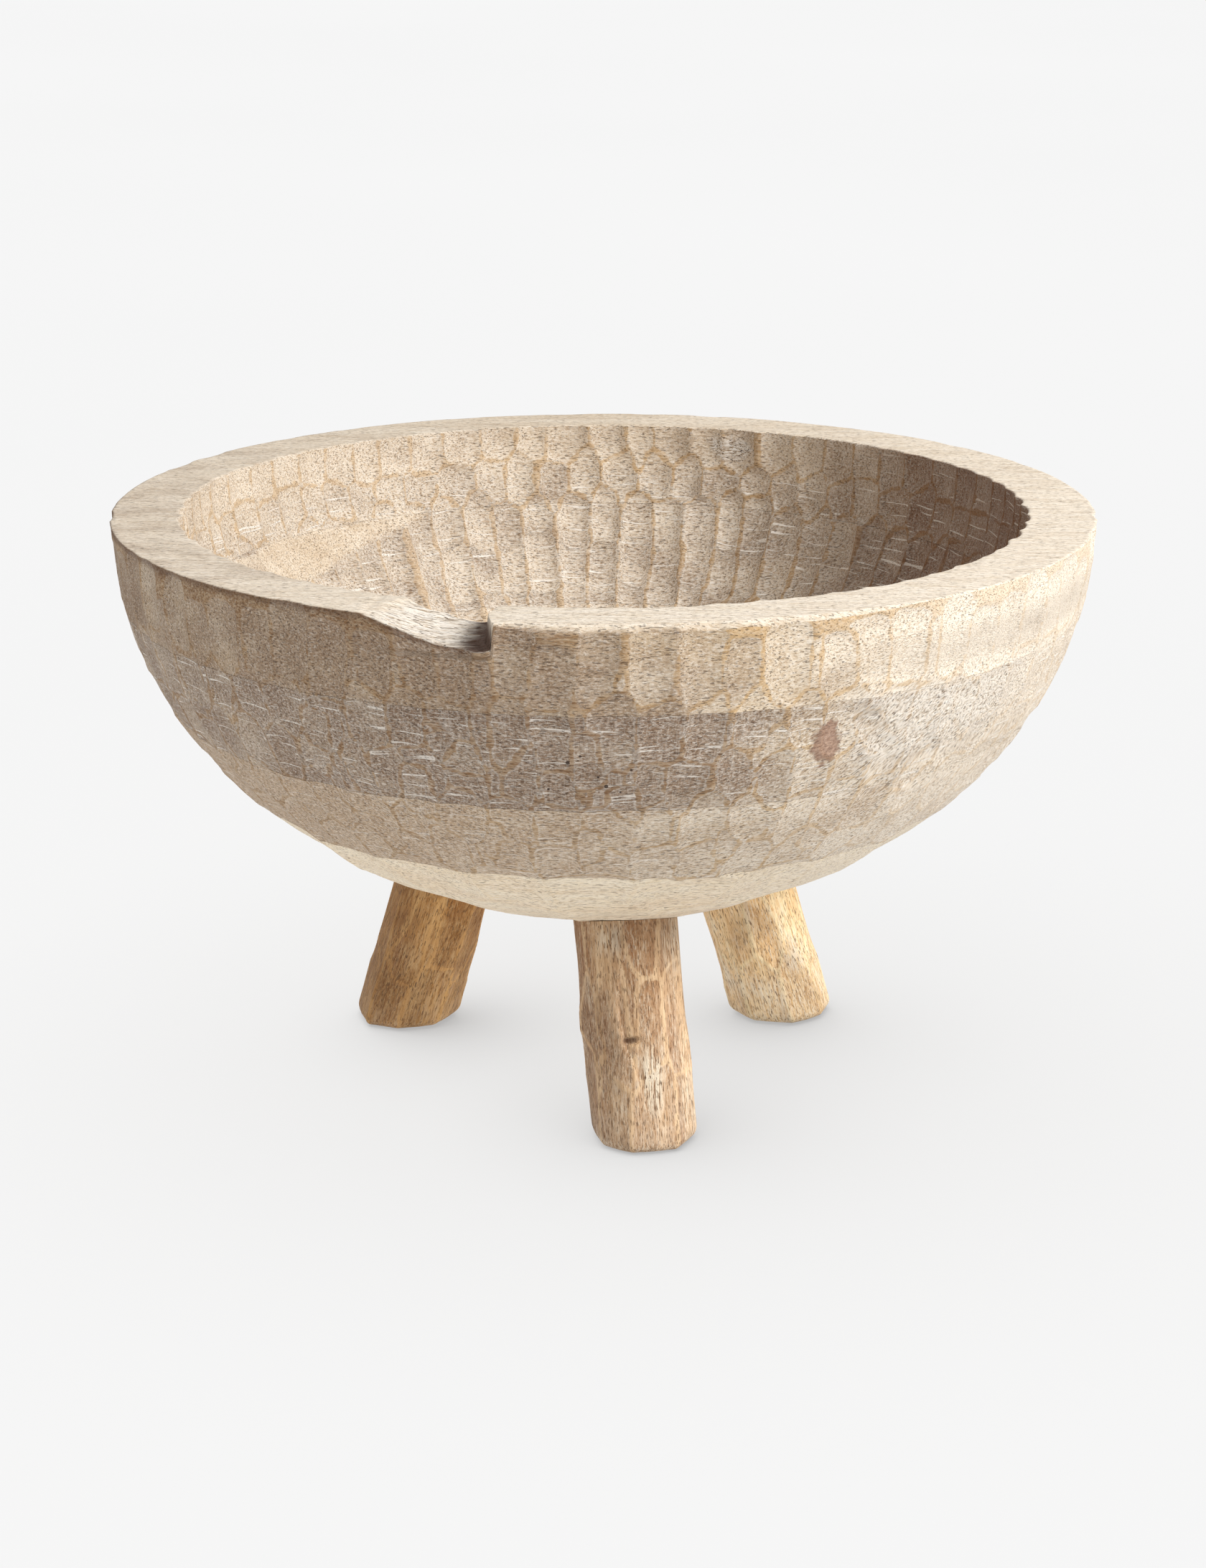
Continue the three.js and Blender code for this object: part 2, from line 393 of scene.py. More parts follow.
OUTER_STROKES = gouge_rows(rng, (
    (72, 16.5, 14.5, 1.35, 0.56), (66, 39, 14.5, 1.25, 0.58), (72, 59, 14, 1.2, 0.58),
    (60, 80, 16, 1.3, 0.58), (54, 102, 16, 1.4, 0.58),
    (50, 30, 18, 0.5, 0.75), (50, 52, 18, 0.5, 0.75), (50, 73, 18, 0.5, 0.75), (50, 95, 20, 0.5, 0.75),
    (23, 47, 11, 1.3, 0.2), (19, 68, 12, 1.3, 0.17), (25, 90, 12, 1.35, 0.22),
    (26, 130, 24, 2.0, 0.62), (18, 165, 26, 1.5, 0.62), (9, 200, 24, 0.7, 0.64),
))
INNER_STROKES = gouge_rows(rng, (
    (66, 6, 11, 1.9, 0.58), (69, 23, 11, 1.9, 0.58), (70, 40, 13.5, 2.5, 0.58), (70, 58, 13.5, 2.5, 0.58),
    (70, 76, 13.5, 2.3, 0.58), (70, 94, 13.5, 1.9, 0.58), (44, 120, 18, 1.4, 0.6), (28, 148, 20, 1.3, 0.6),
    (14, 174, 20, 1.1, 0.6), (5, 194, 18, 0.8, 0.6),
))
OUTER = Wall(OUTER_RADIUS, OUTER_DEPTH, WIDEST_Z, 1)
INNER = Wall(INNER_RADIUS, INNER_DEPTH, RIM_Z, -1)


def leg_feet():
    """Each leg's foot centre on the floor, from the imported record."""
    mounts = {mount["name"]: mount["pos_m"] for mount in frame["record"]["mounts"]}
    return {name: np.array(mounts[f"{name}_foot"]) / MM for name in ("front", "rear_left", "rear_right")}


def leg_axis(foot):
    outward = foot / np.hypot(*foot[:2])
    return np.array([0, 0, math.cos(LEG_SPLAY)]) - outward * math.sin(LEG_SPLAY)


def leg_frame(foot):
    """A leg's axis and the two directions across it."""
    axis = leg_axis(foot)
    side_x = np.cross(axis, foot / np.linalg.norm(foot))
    side_x /= np.linalg.norm(side_x)
    return axis, side_x, np.cross(axis, side_x)


def away_from_legs(points):
    """0 where a leg meets the bowl's underside, 1 clear of it."""
    clear = np.ones(points.shape[:-1])
    for foot in leg_feet().values():
        offset = points - foot
        axis = leg_axis(foot)
        distance = np.linalg.norm(offset - (offset @ axis)[..., None] * axis, axis=-1)
        clear = np.minimum(clear, smooth_step(LEG_RADIUS, LEG_RADIUS + 6, distance))
    return clear


def carved(wall, rows, column_angle, arc, looks_of):
    """A patch of carved wall. Each column has its angle, and each point its arc length."""
    angle = np.broadcast_to(column_angle, arc.shape)
    radius, z, normal_r, normal_z = wall.at(arc)
    smooth = polar(radius, angle, z)
    wander = [layered_noise(smooth, 19, SEED + 20, 2), layered_noise(smooth, 15, SEED + 30, 2)]
    depth, edge, stroke = gouge(rows, angle, arc, radius, wander)
    looks = looks_of(angle, z)
    if wall is OUTER:
        depth = (depth - RIDGE_PROUD) * away_from_legs(smooth)
    else:
        uncut = wedge(angle, z)
        depth = (depth - INNER_RIDGE_PROUD) * (1 - 0.8 * uncut)
        edge = edge * (1 - uncut) + 3 * uncut
    depth = depth + 0.1 * layered_noise(smooth, (9, 1.6, 1.6), SEED + 40, 2)
    depth = depth + 0.5 * looks["torn"] * layered_noise(smooth, (5, 2.2, 2.2), SEED + 41, 2)
    points = polar(radius - normal_r * depth, angle, z - normal_z * depth)
    return patch(points, stroke, edge=edge, **looks)


def notch_cut(points):
    """How far the notch lowers the rim's top at each point."""
    turn = math.radians(NOTCH_AZIMUTH)
    along = -(points[..., 0] * math.cos(turn) + points[..., 1] * math.sin(turn))
    out = points[..., 0] * math.sin(turn) - points[..., 1] * math.cos(turn)
    along = along + np.interp(out, *NOTCH_WALL_LEAN)
    along = along + 0.25 * lattice_noise(points, 3.5, SEED + 50)
    ramp = np.interp(along / NOTCH_WIDTH, *NOTCH_RAMP)
    wall = smooth_step(-0.5, 0.6, along)
    floor = ramp * NOTCH_DEPTH - (OUTER_RADIUS - out) * NOTCH_FLOOR_SLOPE * smooth_step(0, 0.3, ramp)
    fibres = layered_noise(points * (1, 1, 0), (16, 1.5, 1), SEED + 60, 2) * smooth_step(0, 0.25, ramp)
    near = smooth_step(120, 140, out)
    pit = 0.6 * smooth_step(7, 1, along) * smooth_step(150, 158, out)
    return np.maximum(floor + pit + 0.45 * fibres, 0) * wall * near


def glued_face(before, after):
    """The flat face between two walls of a board, glued to the next board."""
    return patch(between(before["points"][-1], after["points"][0], (0.33, 0.66)), grey=0.3)


def columns(count, extra=()):
    """The angles of a ring's columns, closer together where the notch's wall stands."""
    even = np.linspace(-math.pi, math.pi, count, endpoint=False)
    return np.unique(np.concatenate([even, np.radians(extra)]))


def worn_corner(angle):
    """How wide the rim's outer corner is worn away: most to the right of the notch, little elsewhere."""
    azimuth = np.degrees(angle)
    wide = round_the_rim(azimuth, ((-12, 0.5), (-10, 1.6), (-5, 2.6), (12, 2.3), (28, 1.5), (34, 0.6),
                                   (60, 0.5), (180, 0.7), (-60, 0.4)))
    circle = polar(OUTER_RADIUS, angle, 0 * angle)
    return wide * (1 + 0.25 * lattice_noise(circle, 9, SEED + 70))


def rim_board_grid():
    angle = columns(BOARD_COLUMNS["rim_board"], np.arange(-13.6, -11.1, 0.1))
    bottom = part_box("rim_board")[0][2] / MM
    corner = worn_corner(angle)
    outer_top = RIM_Z - notch_cut(polar(OUTER_RADIUS, angle, RIM_Z))
    inner_top = RIM_Z - notch_cut(polar(INNER_RADIUS, angle, RIM_Z))

    shares = np.linspace(0, 1, RIM_ROWS)[:, None]
    outer_arc = OUTER.arc_at(bottom) * (1 - shares) + shares * OUTER.arc_at(outer_top - corner)
    inner_arc = INNER.arc_at(inner_top - INNER_CORNER) * (1 - shares) + shares * INNER.arc_at(bottom)
    outside = carved(OUTER, OUTER_STROKES, angle, outer_arc, outer_looks)
    inside = carved(INNER, INNER_STROKES, angle, inner_arc, inner_looks)
    top = rim_top(angle, corner, outside["points"][-1], inside["points"][0])
    return [outside, top, inside, glued_face(inside, outside)]


def rim_top(angle, corner, outer_edge, inner_edge):
    """The planed top of the rim, from the worn outer corner to the inner one, with the notch's floor."""
    outer_r = np.hypot(outer_edge[:, 0], outer_edge[:, 1]) - corner
    inner_r = np.hypot(inner_edge[:, 0], inner_edge[:, 1]) + INNER_CORNER
    across = np.linspace(0, 1, RIM_TOP_ROWS)[:, None]
    radius = outer_r * (1 - across) + inner_r * across
    points = polar(radius, np.broadcast_to(angle, radius.shape), RIM_Z)
    cut = notch_cut(points)
    points[..., 2] -= cut + 0.12 * (1 + lattice_noise(points, 30, SEED + 90))
    points[0, :, 2] = np.minimum(points[0, :, 2], outer_edge[:, 2] + corner)
    torn = smooth_step(0.4, 2.5, cut)
    azimuth = np.broadcast_to(np.degrees(angle), cut.shape)
    # Painted light: the flat top is made greyer on the left and paler on the right, where the key light
    # falls.
    grey_tone = round_the_rim(azimuth, ((-180, -0.1), (-140, 0.15), (-90, 0.28), (-50, 0.25), (-28, 0.0),
                                        (-10, -0.3), (110, -0.3)))
    pale = round_the_rim(azimuth, ((-180, 0.4), (-90, 0.8), (-25, 0.9), (0, 1.0), (90, 1.0), (150, 0.6)))
    return patch(points, grey=grey_tone - 0.4 * torn, lime=0.15 + 0.3 * torn, pale=np.maximum(pale, torn),
                 dark=notch_shade(points, cut), torn=0.8 * torn)


def notch_shade(points, cut):
    """Painted shadow in the corner at the foot of the notch's wall, cast on the ramp by the wall, in
    streaks.
    """
    turn = math.radians(NOTCH_AZIMUTH)
    along = -(points[..., 0] * math.cos(turn) + points[..., 1] * math.sin(turn))
    streaks = layered_noise(points * (1, 1, 0), (9, 1.2, 1), SEED + 61, 2)
    return np.clip(smooth_step(0.5, 2, cut) * smooth_step(11, 3, along + 4 * streaks), 0, 1) * 0.95


def wall_board_grid(name, outer_rows, inner_rows):
    angle = columns(BOARD_COLUMNS[name])
    bottom, top = (corner[2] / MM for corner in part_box(name))
    outer_arc = np.linspace(OUTER.arc_at(bottom), OUTER.arc_at(top), outer_rows)[:, None] + 0 * angle
    inner_arc = np.linspace(INNER.arc_at(top), INNER.arc_at(bottom), inner_rows)[:, None] + 0 * angle
    outside = carved(OUTER, OUTER_STROKES, angle, outer_arc, outer_looks)
    inside = carved(INNER, INNER_STROKES, angle, inner_arc, inner_looks)
    return [outside, glued_face(outside, inside), inside, glued_face(inside, outside)]


def base_board_grid():
    angle = columns(BOARD_COLUMNS["base_board"])
    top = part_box("base_board")[1][2] / MM
    bottom_arc = np.interp(-BASE_FLAT_RADIUS, -OUTER.r, OUTER.arc)
    outer_arc = np.linspace(bottom_arc, OUTER.arc_at(top), BASE_OUTER_ROWS)[:, None] + 0 * angle
    inner_arc = np.linspace(INNER.arc_at(top), INNER.arc[-1] - 1.5, BASE_INNER_ROWS)[:, None] + 0 * angle
    outside = carved(OUTER, OUTER_STROKES, angle, outer_arc, outer_looks)
    inside = carved(INNER, INNER_STROKES, angle, inner_arc, inner_looks)
    ring = outside["points"][0]
    centre = ring * (0.02, 0.02, 0) + (0, 0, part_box("base_board")[0][2] / MM)
    underneath = patch(between(centre, ring, (0, 0.3, 0.6, 0.85)), grey=0.1, pale=0.2)
    return [underneath, outside, glued_face(outside, inside), inside]


# ---------------------------------------------------------------- legs

# Long hewn flats, each carried on up the leg by the next row of strokes
LEG_STROKES = ((8, 8, 30, 1.9, 0.6), (9, 44, 26, 1.9, 0.6), (8, 82, 30, 1.9, 0.6), (3, 60, 40, 2.2, 0.3))


def leg_grid(foot, leg, strokes, seed):
    """A hewn leg: its flat foot, its side, its top scribed to the bowl, and the hole for its dowel."""
    axis, side_x, side_y = leg_frame(foot)
    angle = np.linspace(-math.pi, math.pi, LEG_COLUMNS, endpoint=False)

    def spoke(radius):
        """Points round the leg's axis, level with the foot's centre."""
        around = radius[..., None] * (np.cos(angle)[..., None] * side_x + np.sin(angle)[..., None] * side_y)
        return foot + around

    def to_floor(points):
        return -points[..., 2] / axis[2]

    def to_bowl(points):
        """How far along the axis the bowl's outside lies, lowered by the fit gap."""
        scale = np.array([OUTER_RADIUS, OUTER_RADIUS, OUTER_DEPTH])
        start = (points - (0, 0, WIDEST_Z - FIT_GAP)) / scale
        run = axis / scale
        a = run @ run
        b = start @ run
        c = np.sum(start * start, axis=-1) - 1
        return (-b - np.sqrt(b * b - a * c)) / a

    def placed(radius, share, drift=0.0):
        """Points at a share of the way up. The leg's middle drifts sideways off its axis by the drift."""
        points = spoke(radius) + np.asarray(share * drift)[..., None] * side_x
        low, high = to_floor(points), to_bowl(points)
        return points + ((1 - share) * low + share * high)[..., None] * axis

    length = float(np.mean(to_bowl(spoke(np.full(LEG_COLUMNS, LEG_RADIUS)))))
    foot_shares = np.linspace(0, 0.04, LEG_FOOT_ROWS, endpoint=False)
    share = np.concatenate([foot_shares, np.linspace(0.04, 1, LEG_ROWS)])[:, None]
    along = share * length + 0 * angle
    spread = np.broadcast_to(angle, along.shape)
    leftward = -(np.cos(spread) * side_x[0] + np.sin(spread) * side_y[0])
    radius, looks = hewn_side(leg, strokes, seed, spread, along, share, leftward)
    side = patch(placed(radius, share, leg.drift), **looks)

    foot_rows = np.stack([placed(radius[0] * k, 0 * angle) for k in (0.02, 0.35, 0.65, 0.88)])
    hole = np.full(LEG_COLUMNS, DOWEL_HOLE_RADIUS)
    top_rows = np.stack([placed(radius[-1] * (1 - k) + hole * k, 0 * angle + 1, leg.drift * (1 - k))
                         for k in (0.3, 0.65, 1)])
    floor_centre = foot + axis * (float(to_bowl(foot)) - DOWEL_HOLE_DEPTH)
    hole_floor = spoke(hole) - foot + floor_centre
    hole_wall = between(top_rows[-1], hole_floor, (0.5,))
    hole_rows = np.stack([hole_floor, hole_floor * 0.05 + floor_centre * 0.95])
    return [patch(foot_rows, grey=0.2), side, patch(top_rows), patch(hole_wall), patch(hole_rows)]


def hewn_side(leg, strokes, seed, angle, along, share, leftward):
    """The radius of a leg's side, and its looks. Leftward is how much each point faces left."""
    local = np.stack([along, LEG_RADIUS * np.cos(angle), LEG_RADIUS * np.sin(angle)], axis=-1)
    wander = [layered_noise(local, (26, 9, 9), seed, 2), layered_noise(local, 12, seed + 5, 2)]
    depth, edge, stroke = gouge(strokes, angle, along, LEG_RADIUS + 0 * along, wander)
    depth = depth + 0.12 * layered_noise(local, (14, 2, 2), seed + 9, 2)
    chips = leg.chips(angle, along)
    inset = np.clip(LEG_FOOT_ROUNDING - along, 0, LEG_FOOT_ROUNDING)
    rounding = LEG_FOOT_ROUNDING - np.sqrt(LEG_FOOT_ROUNDING ** 2 - inset ** 2)
    radius = LEG_RADIUS + LEG_PROUD - (depth + chips) - 0.8 * rounding

    lime = 0.75 - 0.005 * along + 0.6 * layered_noise(local, (16, 8, 8), seed + 13, 2)
    torn = np.clip(1.6 * layered_noise(local, (18, 7, 7), seed + 17, 2) + leg.torn, 0, 0.8)
    # Random stains, plus painted shade on the side facing left, away from the key light, and at the top
    # under the bowl.
    stain_and_shade = 0.3 * smooth_step(0.15, 0.55, layered_noise(local, (24, 11, 11), seed + 19, 2))
    stain_and_shade = stain_and_shade + leg.left_stain * smooth_step(-0.5, 0.9, leftward) + 0.15 * smooth_step(0.7, 1.0, share)
    return radius, {
        "stroke": stroke,
        "edge": edge,
        "lime": np.clip(lime, 0, 1),
        "honey": 1,
        # Painted shade in the deepest parts of the chips, and the stains and painted shade above.
        "dark": np.maximum(0.8 * smooth_step(1.1, 2.0, chips), np.clip(stain_and_shade, 0, 1)),
        "grey": 0.2 + 0.7 * layered_noise(local, (22, 9, 9), seed + 15, 2),
        "torn": np.maximum(torn, leg.torn_spot(angle, along)),
        "pale": 0.3 - 0.005 * along,
    }


def nothing(angle, along):
    return 0 * along


def front_chips(angle, along):
    """The torn chip in the front leg, and the long torn edge that runs through it."""
    across = LEG_RADIUS * (angle - math.radians(-104))
    up = along - 38
    chip = 1.5 * np.clip(1 - (across / 4.2) ** 2 - ((up - 0.12 * across) / 1.6) ** 2, 0, 1)
    edge_line = np.interp(up, (-30, -14, 0, 12, 24, 34), (5.5, 2.2, -3.4, -4.2, -2.0, 0))
    place = np.stack([along, across, 0 * along], -1)
    beyond = across - edge_line + 0.5 * lattice_noise(place, (5, 3, 3), SEED + 7)
    fade = smooth_step(-32, -22, up) * smooth_step(34, 20, up)
    ledge = 1.0 * smooth_step(-0.3, 0.4, beyond) * np.exp(-np.clip(beyond, 0, 30) / 8) * fade
    return chip + ledge


def front_torn_spot(angle, along):
    """The pale torn patch below the chip."""
    across = LEG_RADIUS * (angle + 1.46)
    return smooth_step(1.2, 0.6, np.hypot(across / 4.2, (along - 24) / 12))


# ---------------------------------------------------------------- meshes

def mesh_from(name, grids, ring, wood):
    """A closed mesh from stacked patches. A ring's last row joins its first; otherwise both ends close on a
    point. Wood is the point's place in its piece of wood, with the grain along its first axis."""
    grid = stacked(grids)
    rows, cols = grid["points"].shape[:2]
    points = grid["points"].reshape(-1, 3)
    index = np.arange(rows * cols).reshape(rows, cols)
    if ring:
        index = np.vstack([index, index[:1]])
    right = np.roll(index, -1, axis=1)
    quads = np.stack([index[:-1], right[:-1], right[1:], index[1:]], axis=-1).reshape(-1, 4)
    faces = [quads]
    if not ring:
        ends = [points[index[0]].mean(axis=0), points[index[-1]].mean(axis=0)]
        first, last = len(points), len(points) + 1
        points = np.vstack([points, ends])
        start = np.full(cols, first)
        finish = np.full(cols, last)
        faces.append(np.stack([right[0], index[0], start], axis=-1))
        faces.append(np.stack([index[-1], right[-1], finish], axis=-1))
    mesh = bpy.data.meshes.new(name)
    mesh.from_pydata((points * MM).tolist(), [], [face for group in faces for face in group.tolist()])
    extra = len(points) - rows * cols
    for look in LOOKS:
        values = np.append(grid[look].reshape(-1), np.full(extra, grid[look].reshape(-1)[0]))
        mesh.attributes.new(look, "FLOAT", "POINT").data.foreach_set("value", values.astype(np.float32))
    stroke = np.vstack([grid["stroke"].reshape(-1, 3), np.zeros((extra, 3))])
    for title, values in (("stroke", stroke), ("wood", wood(points))):
        attribute = mesh.attributes.new(title, "FLOAT_VECTOR", "POINT")
        attribute.data.foreach_set("vector", np.ascontiguousarray(values, np.float32).reshape(-1))
    mesh.shade_smooth()
    mesh.set_sharp_from_angle(angle=math.radians(48))
    mesh.validate()
    piece = bpy.data.objects.new(name, mesh)
    bpy.context.collection.objects.link(piece)
    return piece


def finished(piece, material, node):
    piece.data.materials.append(material)
    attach(piece, "root")
    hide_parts(node)


# ---------------------------------------------------------------- materials

def rgb(red, green, blue):
    """A colour as screens show it, 0 to 255, in linear light."""
    shares = (value / 255 for value in (red, green, blue))
    return tuple(v / 12.92 if v <= 0.04045 else ((v + 0.055) / 1.055) ** 2.4 for v in shares) + (1.0,)


class Shader:
    """One material's nodes, added by short calls. A value is a socket or a constant."""

    def __init__(self, name):
        self.material = bpy.data.materials.new(name)
        self.material.use_nodes = True
        self.tree = self.material.node_tree
        self.surface = self.tree.nodes["Principled BSDF"]

    def node(self, kind, inputs, output=0, **settings):
        node = self.tree.nodes.new(kind)
        for key, value in settings.items():
            setattr(node, key, value)
        for socket, value in inputs.items():
            self.feed(node.inputs[socket], value)
        return node.outputs[output]

    def feed(self, socket, value):
        if isinstance(value, bpy.types.NodeSocket):
            self.tree.links.new(value, socket)
        else:
            socket.default_value = value

    def attribute(self, name, output="Fac"):
        return self.node("ShaderNodeAttribute", {}, output, attribute_name=name)

    def math(self, operation, first, second=0.0, third=0.0):
        return self.node("ShaderNodeMath", {0: first, 1: second, 2: third}, operation=operation)

    def noise(self, place, size, detail=2.0, roughness=0.5, shift=0.0):
        """Noise from 0 to 1 whose lumps have the given sizes along the place's three axes."""
        scale = tuple(1 / length for length in size)
        scaled = self.node("ShaderNodeMapping", {"Vector": place, "Scale": scale, "Location": (shift,) * 3})
        inputs = {"Vector": scaled, "Scale": 1.0, "Detail": detail, "Roughness": roughness}
        return self.node("ShaderNodeTexNoise", inputs)

    def ramp(self, value, low, high, start=0.0, end=1.0):
        inputs = {"Value": value, "From Min": low, "From Max": high, "To Min": start, "To Max": end}
        return self.node("ShaderNodeMapRange", inputs, interpolation_type="SMOOTHSTEP")

    def mix(self, share, first, second, blend="MIX"):
        inputs = {0: share, 6: first, 7: second}
        return self.node("ShaderNodeMix", inputs, 2, data_type="RGBA", blend_type=blend)

    def darkened(self, share, colour, shade):
        return self.mix(share, colour, self.mix(1.0, colour, shade, "MULTIPLY"))

    def distance(self, place, centre, size):
        """How far a place lies from a centre, 1 at the given size along each axis."""
        offset = self.node("ShaderNodeVectorMath", {0: place, 1: centre}, operation="SUBTRACT")
        scale = tuple(1 / length for length in size)
        scaled = self.node("ShaderNodeVectorMath", {0: offset, 1: scale}, operation="MULTIPLY")
        return self.node("ShaderNodeVectorMath", {0: scaled}, 1, operation="LENGTH")


# A piece of wood's colours: the clean wood's light and dark, the weather-worn wood's light and dark, the
# ridges in clean and in weather-worn wood, the lime, the pores, and the dark marks, which are real stains
# and painted shade.
Palette = namedtuple("Palette", "light deep grey_light grey_dark ridge_clean ridge_grey lime pore mark")

LIME = (247, 239, 228)
CREAM = rgb(249, 237, 220)
PORE = rgb(92, 70, 54)
LEG_PORE = rgb(118, 86, 60)
# The dark marks' colour: real stains on the legs, and painted shade in the notch's corner, under the rim's
# edge, in chips and on the legs' left sides and tops.
STAIN_AND_SHADE = rgb(86, 55, 38)
# The colour of the shade painted on the inside's right.
PAINTED_SHADE_COLOUR = rgb(98, 51, 25)
SPECKLE = rgb(200, 184, 166)
CLEAN_WOOD = ((236, 220, 197), (212, 189, 158))


def palette_of(pore, *codes):
    return Palette(*(rgb(*code) for code in codes), pore, STAIN_AND_SHADE)


BOARD_PALETTES = {
    "rim_board": palette_of(PORE, *CLEAN_WOOD, (185, 158, 131), (127, 101, 76), (211, 178, 133),
                            (142, 108, 75), LIME),
    "upper_wall_board": palette_of(PORE, *CLEAN_WOOD, (176, 149, 125), (116, 92, 71), (206, 174, 131),
                                   (144, 111, 80), LIME),
    "lower_wall_board": palette_of(PORE, *CLEAN_WOOD, (215, 188, 157), (157, 129, 99), (214, 184, 143),
                                   (168, 136, 101), LIME),
    # The base board's light colours are partly painted light, for the light bounced up from the floor.
    "base_board": palette_of(PORE, (255, 240, 211), (245, 217, 177), (206, 190, 171), (160, 141, 120),
                             (236, 206, 162), (192, 164, 130), LIME),
}
LEG_PALETTES = {
    "front": palette_of(LEG_PORE, (228, 192, 150), (170, 125, 86), (194, 158, 124), (130, 93, 64),
                        (236, 204, 164), (204, 165, 124), (243, 226, 200)),
    "rear_left": palette_of(LEG_PORE, (236, 182, 112), (172, 117, 61), (196, 147, 90), (132, 88, 48),
                            (240, 190, 126), (194, 142, 86), (228, 190, 140)),
    "rear_right": palette_of(LEG_PORE, (255, 227, 176), (240, 192, 132), (246, 210, 160), (208, 162, 110),
                             (255, 232, 188), (240, 202, 150), (250, 236, 212)),
}

# How long the dark and light specks are along the grain
BOARD_SPECKLE_LENGTH = 1.7
LEG_SPECKLE_LENGTH = 5.0

# The knot's azimuth, its drop below the rim, and half its size along each axis; and each wormhole's
# azimuth, drop and radius
KNOT = (25.4, 48.4, (4.8, 14.0, 8.4))
WORMHOLES = ((-4.0, 48.0, 0.7), (-2.6, 45.5, 0.5), (0.3, 57.0, 0.7), (-0.6, 53.5, 0.45), (3.1, 50.5, 0.5),
             (-6.2, 58.5, 0.45), (1.9, 59.5, 0.4))


